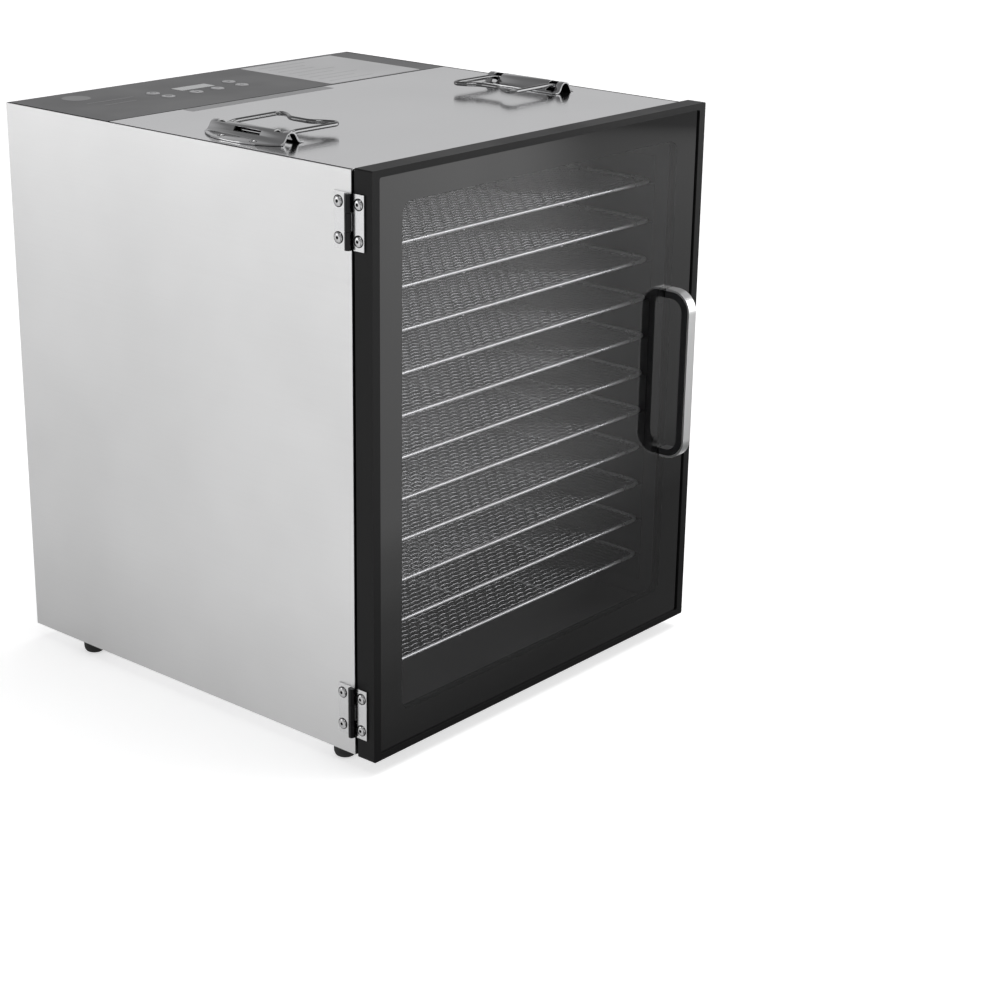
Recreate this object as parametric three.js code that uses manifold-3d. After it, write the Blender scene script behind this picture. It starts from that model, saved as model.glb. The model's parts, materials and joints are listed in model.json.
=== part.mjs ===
// Countertop food dehydrator: a stainless cabinet with a smoked-glass door, eleven mesh trays,
// a rear fan with a ring heater, a control panel on top and two folding bail handles.
// Millimetres, +Z up, the door faces -Y. Shapes are drawn in cabinet coordinates: x from the middle,
// y back from the cabinet's front edge, z up from its underside. The whole group is then set down
// with its origin at the middle of its footprint, on the surface that the feet stand on.
import * as THREE from "three";
import { mergeVertices } from "three/addons/utils/BufferGeometryUtils.js";
import Module from "manifold-3d";

// Driving dimensions
const WIDTH = 434;
const DEPTH = 422;
const HEIGHT = 500;
const SHEET = 1.2; // thickness of the folded sheets
const GAP = 0.3; // clearance between touching pieces
const FOOT_HEIGHT = 14;
const FRONT_REACH = 48; // the handle's face, in front of the cabinet
const REAR_REACH = 426; // the fan guard's face, behind it

// Door
const DOOR_THICK = 18.8;
const DOOR_GAP = 3.3; // between the closed door and the cabinet
const DOOR_FRONT = -DOOR_GAP - DOOR_THICK;
const DOOR_LEFT = -WIDTH / 2;
const DOOR_RIGHT = WIDTH / 2 + 7.5;
const DOOR_BOTTOM = -1;
const DOOR_TOP = HEIGHT + 1.5;
const RIM = 8.5; // the door frame's rim beside the glass
const RIM_END = 6; // the same rim above and below it
const WINDOW = { x0: -180, x1: 184, z0: 35, z1: 471, r: 10 };
const BAND = 14; // width of the deep part of the inner frame
const BAND_TOP = 20;

// Hinges: a vertical axis outside the left edge
const AXIS_X = -WIDTH / 2 - 3.5;
const AXIS_Y = 0.4;
const KNUCKLE_R = 2.9;
const PIN_R = 1.2;
const HINGE_LENGTH = 45;
const HINGE_Z = { upper: 437, lower: 18 };
const LEAF_EDGE = { cabinet: 17.4, door: -14.8 }; // y of each leaf's far edge

// Drying chamber and trays
const CHAMBER_HALF = 204; // half its width, to the liner's inner faces
const CHAMBER_FLOOR = 14;
const CHAMBER_CEILING = 474;
const CHAMBER_BACK = 371;
const TRAY_COUNT = 11;
const TRAY_PITCH = 36.8;
const TRAY_FIRST = 60; // height of the lowest tray's rim centre
const TRAY = { half: 200, y0: 13, y1: 365, rim: 4, mesh: 1.6, r: 12 };
const RACK = { low: 30, high: 450, ledge: 193 }; // its ends, and how near the middle its ledges come

// Fan, heater and rear
const FAN_Z = 240;
const FAN_Y = 386;
const FAN_R = 58;
const SHAFT_R = 3;
const HEATER_R = 78;

// Top: control panel, keys and bail handles
const PANEL_Y = 288; // where the control panel starts
const PANEL_THICK = 2;
const BAIL_AXIS_X = 178;
const BAIL_AXIS_Z = HEIGHT + 4.8;
const BAIL_Y = 149; // middle of each handle
const WIRE_R = 2;
const KEYS = {
  key_power: [-94, 367],
  key_time: [-94, 346],
  key_temperature: [-60, 346],
  key_minus: [-33, 347],
  key_plus: [-3, 346],
  key_start: [0, 367],
};

const wasm = await Module();
wasm.setup();

// ---------- solids ----------

function toSolid(geometry) {
  const bare = new THREE.BufferGeometry();
  const flat = geometry.index ? geometry.toNonIndexed() : geometry;
  bare.setAttribute("position", flat.getAttribute("position"));
  const merged = mergeVertices(bare, 1e-4);
  const mesh = new wasm.Mesh({
    numProp: 3,
    vertProperties: merged.attributes.position.array,
    triVerts: new Uint32Array(merged.index.array),
  });
  return new wasm.Manifold(mesh);
}

function toGeometry(solid) {
  const mesh = solid.getMesh();
  const geometry = new THREE.BufferGeometry();
  geometry.setAttribute("position", new THREE.BufferAttribute(mesh.vertProperties, 3));
  geometry.setIndex(new THREE.BufferAttribute(mesh.triVerts, 1));
  geometry.computeVertexNormals();
  return geometry;
}

function join(...geometries) {
  return toGeometry(geometries.map(toSolid).reduce((a, b) => a.add(b)));
}

function cut(base, ...tools) {
  return toGeometry(tools.map(toSolid).reduce((a, b) => a.subtract(b), toSolid(base)));
}

// ---------- basic shapes ----------

function block(x0, x1, y0, y1, z0, z1) {
  const geometry = new THREE.BoxGeometry(x1 - x0, y1 - y0, z1 - z0);
  return geometry.translate((x0 + x1) / 2, (y0 + y1) / 2, (z0 + z1) / 2);
}

// A rectangle with round corners, as a Shape or, for a hole, a Path
function roundedRectangle(x0, x1, y0, y1, r, Kind = THREE.Shape) {
  const path = new Kind();
  path.moveTo(x0 + r, y0);
  path.lineTo(x1 - r, y0);
  path.absarc(x1 - r, y0 + r, r, -Math.PI / 2, 0, false);
  path.lineTo(x1, y1 - r);
  path.absarc(x1 - r, y1 - r, r, 0, Math.PI / 2, false);
  path.lineTo(x0 + r, y1);
  path.absarc(x0 + r, y1 - r, r, Math.PI / 2, Math.PI, false);
  path.lineTo(x0, y0 + r);
  path.absarc(x0 + r, y0 + r, r, Math.PI, 1.5 * Math.PI, false);
  return path;
}

function rectangle(x0, x1, y0, y1) {
  const corners = [[x0, y0], [x1, y0], [x1, y1], [x0, y1]];
  return new THREE.Shape(corners.map(([x, y]) => new THREE.Vector2(x, y)));
}

function ringShape(outer, inner, outerR, innerR) {
  const shape = roundedRectangle(...outer, outerR);
  shape.holes.push(roundedRectangle(...inner, innerR, THREE.Path));
  return shape;
}

function extrude(shape, depth, curveSegments = 4) {
  return new THREE.ExtrudeGeometry(shape, { depth, bevelEnabled: false, curveSegments });
}

// A shape in x and z, made solid from y0 to y1
function alongY(shape, y0, y1, curveSegments) {
  return extrude(shape, y1 - y0, curveSegments).rotateX(Math.PI / 2).translate(0, y1, 0);
}

// A shape in x and y, made solid from z0 to z1
function alongZ(shape, z0, z1, curveSegments) {
  return extrude(shape, z1 - z0, curveSegments).translate(0, 0, z0);
}

// A shape in y and z, made solid from x0 to x1
function alongX(shape, x0, x1, curveSegments) {
  const turn = new THREE.Matrix4().makeBasis(
    new THREE.Vector3(0, 1, 0),
    new THREE.Vector3(0, 0, 1),
    new THREE.Vector3(1, 0, 0),
  );
  return extrude(shape, x1 - x0, curveSegments).applyMatrix4(turn).translate(x0, 0, 0);
}

function rodAlongZ(r, x, y, z0, z1, sides = 20) {
  const rod = new THREE.CylinderGeometry(r, r, z1 - z0, sides).rotateX(Math.PI / 2);
  return rod.translate(x, y, (z0 + z1) / 2);
}

function rodAlongY(r, x, z, y0, y1, sides = 24) {
  return new THREE.CylinderGeometry(r, r, y1 - y0, sides).translate(x, (y0 + y1) / 2, z);
}

// A profile of [radius, y] points turned about a line along Y
function turnedAlongY(profile, x, z, sides = 32) {
  const points = profile.map(([r, y]) => new THREE.Vector2(r, y));
  return new THREE.LatheGeometry(points, sides).translate(x, 0, z);
}

// A path through points with its corners rounded
function roundedPath(points, r) {
  const path = new THREE.CurvePath();
  let from = points[0];
  for (let i = 1; i < points.length - 1; i++) {
    const corner = points[i];
    const back = points[i - 1].clone().sub(corner);
    const on = points[i + 1].clone().sub(corner);
    const reach = Math.min(r, back.length() / 2, on.length() / 2);
    const a = corner.clone().addScaledVector(back.normalize(), reach);
    const b = corner.clone().addScaledVector(on.normalize(), reach);
    path.add(new THREE.LineCurve3(from, a));
    path.add(new THREE.QuadraticBezierCurve3(a, corner, b));
    from = b;
  }
  path.add(new THREE.LineCurve3(from, points[points.length - 1]));
  return path;
}

function wire(path, r, steps, sides = 8) {
  const section = new THREE.Shape();
  for (let i = 0; i < sides; i++) {
    const angle = (2 * Math.PI * i) / sides;
    section[i ? "lineTo" : "moveTo"](r * Math.cos(angle), r * Math.sin(angle));
  }
  return new THREE.ExtrudeGeometry(section, { steps, extrudePath: path });
}

// ---------- materials ----------

const finish = (color, roughness, metalness) =>
  new THREE.MeshStandardMaterial({ color, roughness, metalness });
const steel = finish(0xd9d9da, 0.35, 1);
const chrome = finish(0xe8e8ea, 0.12, 1);
const blackMetal = finish(0x1f1f20, 0.45, 0.2);
const linerSteel = finish(0x6a6a6c, 0.4, 0.8);
const rubber = finish(0x161616, 0.85, 0);
const blackPlastic = finish(0x141415, 0.4, 0);
const panelPlastic = finish(0x5c5c5e, 0.4, 0);
const keyPlastic = finish(0xb9b9bb, 0.4, 0);
const boardGreen = finish(0x1d5b3a, 0.6, 0);
const glass = new THREE.MeshStandardMaterial({
  color: 0x3a3a3c,
  roughness: 0.05,
  transparent: true,
  opacity: 0.4,
});

const dehydrator = new THREE.Group();
dehydrator.position.set(0, -(REAR_REACH - FRONT_REACH) / 2, FOOT_HEIGHT);

function add(name, geometry, material) {
  const mesh = new THREE.Mesh(geometry, material);
  mesh.name = name;
  dehydrator.add(mesh);
}

// ---------- cabinet ----------

const INNER_HALF = WIDTH / 2 - SHEET - GAP; // half the width between the side panels

function addShell() {
  const side = (x0, x1) => block(x0, x1, 0, DEPTH, 0, HEIGHT);
  add("side_panel_left", side(-WIDTH / 2, -WIDTH / 2 + SHEET), steel);
  add("side_panel_right", side(WIDTH / 2 - SHEET, WIDTH / 2), steel);
  const top = block(-INNER_HALF, INNER_HALF, 0, PANEL_Y - GAP, HEIGHT - SHEET, HEIGHT);
  add("top_panel", top, steel);
  const base = block(-INNER_HALF, INNER_HALF, SHEET + GAP, DEPTH - SHEET - GAP, 0, SHEET);
  add("base_plate", base, steel);
}

// The front flange ring that the door closes on
function addFrontFrame() {
  const shape = ringShape(
    [-INNER_HALF, INNER_HALF, 0, HEIGHT - SHEET - GAP],
    [-CHAMBER_HALF, CHAMBER_HALF, CHAMBER_FLOOR, CHAMBER_CEILING],
    0.5,
    3,
  );
  add("front_frame", alongY(shape, 0, SHEET), blackMetal);
}

// A ring of short arc slots round the fan's axis, as shapes
function ringOfSlots(radius, width, count, share) {
  return Array.from({ length: count }, (_, i) => {
    const a0 = (2 * Math.PI * i) / count;
    const a1 = a0 + (2 * Math.PI * share) / count;
    const slot = new THREE.Shape();
    slot.absarc(0, FAN_Z, radius + width / 2, a0, a1, false);
    slot.absarc(0, FAN_Z, radius - width / 2, a1, a0, true);
    return slot;
  });
}

// A row of upright slots, as shapes
function rowOfSlots(x0, pitch, count, z, width, height) {
  return Array.from({ length: count }, (_, i) => {
    const x = x0 + i * pitch;
    return rectangle(x - width / 2, x + width / 2, z - height / 2, z + height / 2);
  });
}

// A sheet in x and z from y0 to y1, with each slot cut through it
function slottedSheet(shape, slots, y0, y1) {
  return cut(alongY(shape, y0, y1, 2), ...slots.map((slot) => alongY(slot, y0 - 1, y1 + 1, 3)));
}

const INLET = { x: 150, z: 44, width: 27.5, height: 20.5, depth: 17 };

function addRearPanel() {
  const shape = rectangle(-INNER_HALF, INNER_HALF, 0, HEIGHT - PANEL_THICK - GAP);
  const slots = [42, 51].flatMap((radius) => ringOfSlots(radius, 4, 4, 0.86));
  slots.push(...rowOfSlots(-126, 18, 15, 448, 4, 30));
  const half = [INLET.width / 2 + GAP, INLET.height / 2 + GAP];
  const opening = [INLET.x - half[0], INLET.x + half[0], INLET.z - half[1], INLET.z + half[1]];
  slots.push(rectangle(...opening));
  add("rear_panel", slottedSheet(shape, slots, DEPTH - SHEET, DEPTH), steel);
}

// A wire finger guard over the fan's air inlet
function addRearGuard() {
  const wireR = 1.2;
  const y = REAR_REACH - wireR;
  const reach = 60; // from the fan's axis to each fixing pad
  const ring = (r) => new THREE.TorusGeometry(r, wireR, 5, 20).rotateX(Math.PI / 2).translate(0, y, FAN_Z);
  const spoke = (angle) =>
    rodAlongY(wireR, 0, 0, -reach, reach, 6)
      .rotateZ(Math.PI / 2)
      .rotateY(angle)
      .translate(0, y, FAN_Z);
  const pad = (angle) =>
    rodAlongY(4, 0, 0, DEPTH + GAP, REAR_REACH - 0.2, 10).translate(
      reach * Math.cos(angle),
      0,
      FAN_Z + reach * Math.sin(angle),
    );
  const quarters = [0, Math.PI / 2, Math.PI, 1.5 * Math.PI];
  add(
    "rear_fan_guard",
    join(...[20, 38, 56].map(ring), spoke(0), spoke(Math.PI / 2), ...quarters.map(pad)),
    chrome,
  );
}

// A flanged power inlet with an open socket
function addPowerInlet() {
  const { x, z, width, height, depth } = INLET;
  const flange = block(x - 25, x + 25, DEPTH + GAP, DEPTH + 2.8, z - 12.5, z + 12.5);
  const body = block(x - width / 2, x + width / 2, DEPTH - depth, DEPTH + 1, z - height / 2, z + height / 2);
  const socket = block(x - 12, x + 12, DEPTH - 13, DEPTH + 4, z - 8.2, z + 8.2);
  add("power_inlet", cut(join(flange, body), socket), blackPlastic);
}

function addFeet() {
  const bottom = -FOOT_HEIGHT;
  const r = 10;
  const profile = [[0, -GAP], [r, -GAP], [r, -8.5], [8.8, -12.2], [7.5, bottom], [0, bottom]];
  const points = profile.map(([x, z]) => new THREE.Vector2(x, z)).reverse();
  const foot = () => new THREE.LatheGeometry(points, 16).rotateX(Math.PI / 2);
  const half = 201; // half the distance between the left feet and the right ones
  const front = 27;
  const rear = 357;
  const places = {
    foot_front_left: [-half, front],
    foot_front_right: [half, front],
    foot_rear_left: [-half, rear],
    foot_rear_right: [half, rear],
  };
  for (const [name, [x, y]] of Object.entries(places)) add(name, foot().translate(x, y, 0), rubber);
}

// ---------- drying chamber ----------

function addLiner() {
  const y0 = SHEET + GAP;
  const half = CHAMBER_HALF;
  const walls = [CHAMBER_FLOOR + GAP, CHAMBER_CEILING - GAP];
  add("liner_left", block(-half - 1, -half, y0, CHAMBER_BACK, ...walls), linerSteel);
  add("liner_right", block(half, half + 1, y0, CHAMBER_BACK, ...walls), linerSteel);
  const across = [-half - 1, half + 1, y0, CHAMBER_BACK];
  add("liner_ceiling", block(...across, CHAMBER_CEILING, CHAMBER_CEILING + 1), linerSteel);
  add("liner_floor", block(...across, CHAMBER_FLOOR - 1, CHAMBER_FLOOR), linerSteel);
}

const trayHeight = (i) => TRAY_FIRST + i * TRAY_PITCH;

// A folded sheet against the liner wall, pressed into one ledge for each tray
function rackGeometry(side) {
  const wall = CHAMBER_HALF - GAP;
  const face = wall - SHEET;
  const { low, high, ledge } = RACK;
  const points = [[wall, low], [wall, high], [face, high]];
  for (let i = TRAY_COUNT - 1; i >= 0; i--) {
    const top = trayHeight(i) - TRAY.rim / 2 - GAP;
    points.push([face, top], [ledge, top], [ledge, top - SHEET], [face, top - SHEET]);
  }
  points.push([face, low]);
  const shape = new THREE.Shape(points.map(([x, z]) => new THREE.Vector2(side * x, z)));
  return alongY(shape, TRAY.y0 + 3, TRAY.y1 - 1);
}

// The plate between the trays and the fan, with its intake grille and side outlets
function addFanBaffle() {
  const half = CHAMBER_HALF + 1;
  const shape = rectangle(-half, half, CHAMBER_FLOOR - 1, CHAMBER_CEILING + 1);
  const slots = [16, 32, 48].flatMap((radius) => ringOfSlots(radius, 8, 4, 0.85));
  for (const z of [90, 170, 310, 390]) {
    for (const x of [-180, 160]) slots.push(...rowOfSlots(x, 20, 2, z, 8, 56));
  }
  const y0 = CHAMBER_BACK + GAP;
  add("fan_baffle", slottedSheet(shape, slots, y0, y0 + SHEET), linerSteel);
}

// A rim rod round a mesh sheet
function trayGeometry(z) {
  const { half, y0, y1, rim, mesh, r } = TRAY;
  const outline = [-half, half, y0, y1];
  const within = [-half + rim, half - rim, y0 + rim, y1 - rim];
  const ring = alongZ(ringShape(outline, within, r, r - rim), z - rim / 2, z + rim / 2, 2);
  const lap = rim / 2; // how far the sheet reaches into the rim
  const sheet = roundedRectangle(-half + lap, half - lap, y0 + lap, y1 - lap, r - lap);
  return join(ring, alongZ(sheet, z - mesh / 2, z + mesh / 2, 1));
}

function addTrays() {
  for (let i = 0; i < TRAY_COUNT; i++) {
    add("tray_" + String(i + 1).padStart(2, "0"), trayGeometry(trayHeight(i)), steel);
  }
}

// ---------- fan and heater ----------

// A can on the rear panel, with its boss and shaft toward the chamber
function addFanMotor() {
  const back = DEPTH - SHEET - GAP;
  const can = [[0, back], [30, back], [34, back - 3], [34, 401], [30, 398]];
  const shaft = [[9, 398], [9, 395.5], [SHAFT_R, 395.5], [SHAFT_R, 380], [0, 380]];
  add("fan_motor", turnedAlongY([...can, ...shaft].reverse(), 0, FAN_Z, 24), blackMetal);
}

// Pitched blades on a hub that is bored for the shaft
function addFanBlade() {
  const bore = SHAFT_R + 0.4;
  const profile = [[0, 378], [14, 378], [14, 394.5], [bore, 394.5], [bore, 379.6], [0, 379.6]];
  const hub = turnedAlongY(profile, 0, FAN_Z, 28);
  const count = 5;
  const root = 12; // where a blade starts, inside the hub
  const pitch = 0.42;
  const blades = Array.from({ length: count }, (_, i) =>
    new THREE.BoxGeometry(FAN_R - root, 1.6, 30)
      .rotateX(pitch)
      .translate((FAN_R + root) / 2, 0, 0)
      .rotateY((2 * Math.PI * i) / count)
      .translate(0, FAN_Y, FAN_Z),
  );
  add("fan_blade", join(hub, ...blades), blackPlastic);
}

// An open ring round the fan, with its two ends turned back to the rear panel
function addHeater() {
  const gapAngle = 0.12; // half the opening at its top
  const end = DEPTH - 8;
  const count = 24;
  const step = (2 * Math.PI - 2 * gapAngle) / count;
  const at = (angle, y) =>
    new THREE.Vector3(HEATER_R * Math.sin(angle), y, FAN_Z + HEATER_R * Math.cos(angle));
  const points = [at(gapAngle, end)];
  for (let i = 0; i <= count; i++) points.push(at(gapAngle + step * i, FAN_Y));
  points.push(at(-gapAngle, end));
  add("heater_element", wire(roundedPath(points, 6), 3.2, 38), chrome);
}

// A short rod that reaches into the chamber from the baffle
function addTemperatureProbe() {
  const profile = [[0, 330], [1.6, 331], [2.5, 334], [2.5, 366], [5, 366], [5, 370.4], [0, 370.4]];
  add("temperature_probe", turnedAlongY(profile, -120, 462, 16), chrome);
}

// ---------- door ----------

const GLASS = {
  x0: DOOR_LEFT + RIM + GAP,
  x1: DOOR_RIGHT - RIM - GAP,
  z0: DOOR_BOTTOM + RIM_END + GAP,
  z1: DOOR_TOP - RIM_END - GAP,
};

function addDoor() {
  const outer = [DOOR_LEFT, DOOR_RIGHT, DOOR_BOTTOM, DOOR_TOP];
  const within = [GLASS.x0 - GAP, GLASS.x1 + GAP, GLASS.z0 - GAP, GLASS.z1 + GAP];
  add("door_frame", alongY(ringShape(outer, within, 1.5, 2), DOOR_FRONT, -DOOR_GAP), blackMetal);

  const pane = [GLASS.x0, GLASS.x1, GLASS.z0, GLASS.z1];
  const paneFront = DOOR_FRONT + 1.6;
  const paneBack = paneFront + 4;
  add("door_glass", alongY(roundedRectangle(...pane, 1.6), paneFront, paneBack), glass);

  // A thin window plate behind the glass, on a deeper frame that carries the seal
  const window = [WINDOW.x0, WINDOW.x1, WINDOW.z0, WINDOW.z1];
  const clear = [GLASS.x0 + BAND, GLASS.x1 - BAND, GLASS.z0 + BAND, GLASS.z1 - BAND_TOP];
  const plateFront = paneBack + GAP;
  const plate = alongY(ringShape(pane, window, 1.6, WINDOW.r), plateFront, plateFront + 3, 6);
  const deep = alongY(ringShape(pane, clear, 1.6, 4), plateFront + 2, -DOOR_GAP, 3);
  add("door_inner_frame", join(plate, deep), blackMetal);
}

// The soft lip that meets the cabinet's front frame
function addDoorSeal() {
  const lip = 4;
  const half = CHAMBER_HALF + 2.6;
  const low = CHAMBER_FLOOR - 3;
  const high = CHAMBER_CEILING + 3;
  const shape = ringShape([-half, half, low - lip, high + lip], [-half + lip, half - lip, low, high], 6, 3);
  add("door_seal", alongY(shape, -DOOR_GAP + GAP, -GAP), rubber);
}

// Side view of the bow handle: a bracket shape of even thickness, feet on the glass
function bowShape(y0, y1, z0, z1, r, thick) {
  const shape = new THREE.Shape();
  shape.moveTo(y1, z0);
  shape.lineTo(y1, z0 + thick);
  shape.lineTo(y0 + r, z0 + thick);
  shape.absarc(y0 + r, z0 + r, r - thick, -Math.PI / 2, Math.PI, true);
  shape.lineTo(y0 + thick, z1 - r);
  shape.absarc(y0 + r, z1 - r, r - thick, Math.PI, Math.PI / 2, true);
  shape.lineTo(y1, z1 - thick);
  shape.lineTo(y1, z1);
  shape.lineTo(y0 + r, z1);
  shape.absarc(y0 + r, z1 - r, r, Math.PI / 2, Math.PI, false);
  shape.lineTo(y0, z0 + r);
  shape.absarc(y0 + r, z0 + r, r, Math.PI, 1.5 * Math.PI, false);
  return shape;
}

function addDoorHandle() {
  const trim = 2;
  const grip = 6;
  const z0 = 174;
  const z1 = 336;
  const foot = DOOR_FRONT + 1.6 - GAP;
  const front = -FRONT_REACH;
  const x0 = 176;
  const x1 = 188;
  const bend = 20;
  const outer = bowShape(front, foot, z0, z1, bend, trim);
  add("handle_trim", alongX(outer, x0 + 0.5, x1 - 0.5, 8), chrome);
  const edge = trim + GAP;
  const core = bowShape(front + edge, foot, z0 + edge, z1 - edge, bend - edge, grip);
  add("handle_grip", alongX(core, x0, x1, 8), blackPlastic);
}

// ---------- hinges ----------

// One leaf of a hinge with its knuckles; the leaf's far edge is at y = edge
function hingeLeaf(edge, z0, knuckles) {
  const outside = -WIDTH / 2 - GAP;
  const reach = edge > AXIS_Y ? 4.4 : -4;
  const span = [AXIS_Y + reach, edge].sort((a, b) => a - b);
  const leaf = block(outside - 1.2, outside, ...span, z0, z0 + HINGE_LENGTH);
  const pieces = [leaf];
  for (const [a, b] of knuckles) {
    const tab = [AXIS_Y, AXIS_Y + reach * 1.02].sort((p, q) => p - q);
    pieces.push(block(outside - 1.2, outside, ...tab, z0 + a, z0 + b));
    pieces.push(rodAlongZ(KNUCKLE_R, AXIS_X, AXIS_Y, z0 + a, z0 + b, 24));
  }
  return cut(join(...pieces), rodAlongZ(PIN_R + GAP, AXIS_X, AXIS_Y, z0 - 1, z0 + HINGE_LENGTH + 1, 16));
}

function addHinges() {
  const third = HINGE_LENGTH / 3;
  const ends = [[0, third - GAP / 2], [2 * third + GAP / 2, HINGE_LENGTH]];
  const middle = [[third + GAP / 2, 2 * third - GAP / 2]];
  for (const [place, z0] of Object.entries(HINGE_Z)) {
    add("hinge_leaf_cabinet_" + place, hingeLeaf(LEAF_EDGE.cabinet, z0, ends), steel);
    add("hinge_leaf_door_" + place, hingeLeaf(LEAF_EDGE.door, z0, middle), steel);
    add("hinge_pin_" + place, rodAlongZ(PIN_R, AXIS_X, AXIS_Y, z0, z0 + HINGE_LENGTH, 16), blackMetal);
  }
}

// The catch behind the front frame, on the side away from the hinges
function addMagnet() {
  const inner = CHAMBER_HALF + 2;
  const middle = HEIGHT / 2;
  const magnet = block(inner, inner + 8, SHEET + GAP, 12, middle - 15, middle + 15);
  add("door_magnet", magnet, blackPlastic);
}

// ---------- bail handles ----------

// Cross-section of the arched cover over the wire, in x and z from its middle and the top panel
function archShape(side) {
  const t = 1.2;
  const x = (value) => side * (BAIL_AXIS_X + value);
  const z = (value) => HEIGHT + GAP + value;
  const flange = [[27, 0], [27, t]];
  const crown = [[8.4, t], [4.6, 6], [1.8, 9.6], [-1.8, 9.6], [-4.6, 6], [-8, t]];
  const lip = [[-14, t], [-14, 0]];
  const within = [[-7.2, 0], [-3.5, 5.4], [-1.1, 8.4], [1.1, 8.4], [3.5, 5.4], [7.6, 0]];
  const shape = new THREE.Shape();
  const outline = [...flange, ...crown, ...lip, ...within];
  outline.forEach(([a, b], i) => shape[i ? "lineTo" : "moveTo"](x(a), z(b)));
  return shape;
}

// The cover with its corners cut off, slots for the legs, a sight hole and two stops for the wire
function bracketGeometry(side) {
  const half = 45;
  const leg = 35; // from the middle to each leg of the wire
  const arch = alongY(archShape(side), BAIL_Y - half, BAIL_Y + half);
  const across = (a, b) => [side * a, side * b].sort((p, q) => p - q);
  const top = HEIGHT + 20;
  const corner = (end) =>
    new THREE.CylinderGeometry(16, 16, 8, 4, 1)
      .rotateX(Math.PI / 2)
      .translate(side * (BAIL_AXIS_X + 31), BAIL_Y + end * (half + 4), HEIGHT + 1);
  const legSlot = (end) => {
    const y = BAIL_Y + end * leg;
    return block(...across(BAIL_AXIS_X - 8.5, BAIL_AXIS_X + 3.3), y - 3.4, y + 3.4, HEIGHT + 1.6, top);
  };
  const sightX = across(BAIL_AXIS_X + 3, BAIL_AXIS_X + 9);
  const sight = block(...sightX, BAIL_Y - 17, BAIL_Y + 17, HEIGHT + 2.6, HEIGHT + 7);
  const stopX = across(BAIL_AXIS_X - 14, BAIL_AXIS_X - 11.5);
  const stop = block(...stopX, BAIL_Y - leg - 3, BAIL_Y - leg + 3, HEIGHT + 1, HEIGHT + 5);
  const stopBack = stop.clone().translate(0, 2 * leg, 0);
  const opened = cut(arch, corner(-1), corner(1), legSlot(-1), legSlot(1), sight);
  return join(opened, stop, stopBack);
}

// A wire loop whose ends meet inside the cover: two legs and a grip with a waist
function bailGeometry(side) {
  const plan = [
    [0, 1], [0, 35], [12, 35], [64, 36], [67, 32], [64, 22], [56, 12], [56, -12],
    [64, -22], [67, -32], [64, -36], [12, -35], [0, -35], [0, -1],
  ];
  const rise = (u) => (u < 6 ? 0 : 2.8); // the loop lies a little higher than the wire in the cover
  const points = plan.map(
    ([u, v]) => new THREE.Vector3(side * (BAIL_AXIS_X - u), BAIL_Y + v, BAIL_AXIS_Z + rise(u)),
  );
  return wire(roundedPath(points, 6), WIRE_R, 50);
}

function addBails() {
  for (const [name, side] of [["left", -1], ["right", 1]]) {
    add("bail_bracket_" + name, bracketGeometry(side), steel);
    add("bail_" + name, bailGeometry(side), chrome);
  }
}

// ---------- controls ----------

const KEY_R = 6.5;
const DISPLAY = [-66, -24, 359, 375];

function addControls() {
  const edge = INNER_HALF;
  const shape = roundedRectangle(-edge, edge, PANEL_Y, DEPTH, 0.5);
  for (const [x, y] of Object.values(KEYS)) {
    const hole = new THREE.Path();
    hole.absarc(x, y, KEY_R + 2 * GAP, 0, 2 * Math.PI, false);
    shape.holes.push(hole);
  }
  const [x0, x1, y0, y1] = DISPLAY;
  shape.holes.push(roundedRectangle(x0, x1, y0, y1, 1, THREE.Path));
  add("control_panel", alongZ(shape, HEIGHT - PANEL_THICK, HEIGHT, 5), panelPlastic);
  const lens = roundedRectangle(x0 + GAP, x1 - GAP, y0 + GAP, y1 - GAP, 1);
  add("display_window", alongZ(lens, HEIGHT - 5, HEIGHT + 0.2), glass);
}

// A round cap on a stem that presses a switch on the board
function keyGeometry(x, y) {
  const top = HEIGHT + 0.6;
  const stem = [[0, top - 9.4], [2, top - 9.4], [2, top - 3]];
  const button = [[KEY_R, top - 3], [KEY_R, top - 0.4], [KEY_R - 0.6, top], [0, top]];
  const points = [...stem, ...button].map(([r, z]) => new THREE.Vector2(r, z));
  const cap = new THREE.LatheGeometry(points, 14);
  return cap.rotateX(Math.PI / 2).translate(x, y, 0);
}

function addKeys() {
  for (const [name, [x, y]] of Object.entries(KEYS)) add(name, keyGeometry(x, y), keyPlastic);
}

// A board on four posts under the control panel, with a switch below each key
function addControlBoard() {
  const z = HEIGHT - 14;
  const [x0, x1, y0, y1] = [-112, 20, 332, 384];
  const inset = 4;
  const plate = block(x0, x1, y0, y1, z - 1.6, z);
  const switches = Object.values(KEYS).map(([x, y]) => block(x - 3, x + 3, y - 3, y + 3, z - 0.5, z + 4.2));
  const posts = [y0 + inset, y1 - inset].flatMap((y) =>
    [x0 + inset, x1 - inset].map((x) => rodAlongZ(2.5, x, y, z - 0.5, HEIGHT - PANEL_THICK - GAP, 10)),
  );
  add("control_board", join(plate, ...switches, ...posts), boardGreen);
}

// ---------- assembly ----------

addShell();
addFrontFrame();
addRearPanel();
addRearGuard();
addPowerInlet();
addFeet();
addLiner();
add("tray_rack_left", rackGeometry(-1), steel);
add("tray_rack_right", rackGeometry(1), steel);
addFanBaffle();
addFanMotor();
addFanBlade();
addHeater();
addTemperatureProbe();
addTrays();
addDoor();
addDoorSeal();
addDoorHandle();
addHinges();
addMagnet();
addBails();
addControls();
addKeys();
addControlBoard();

export default dehydrator;
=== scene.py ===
"""The looks of the food dehydrator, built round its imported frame.

Lengths are in millimetres in the cabinet's own coordinates (x from the middle, y back from the
cabinet's front edge, z up from its underside) until at() turns them into the frame's metres.
"""
import json
import math
import random

import bpy
import bmesh
from mathutils import Matrix, Vector


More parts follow.
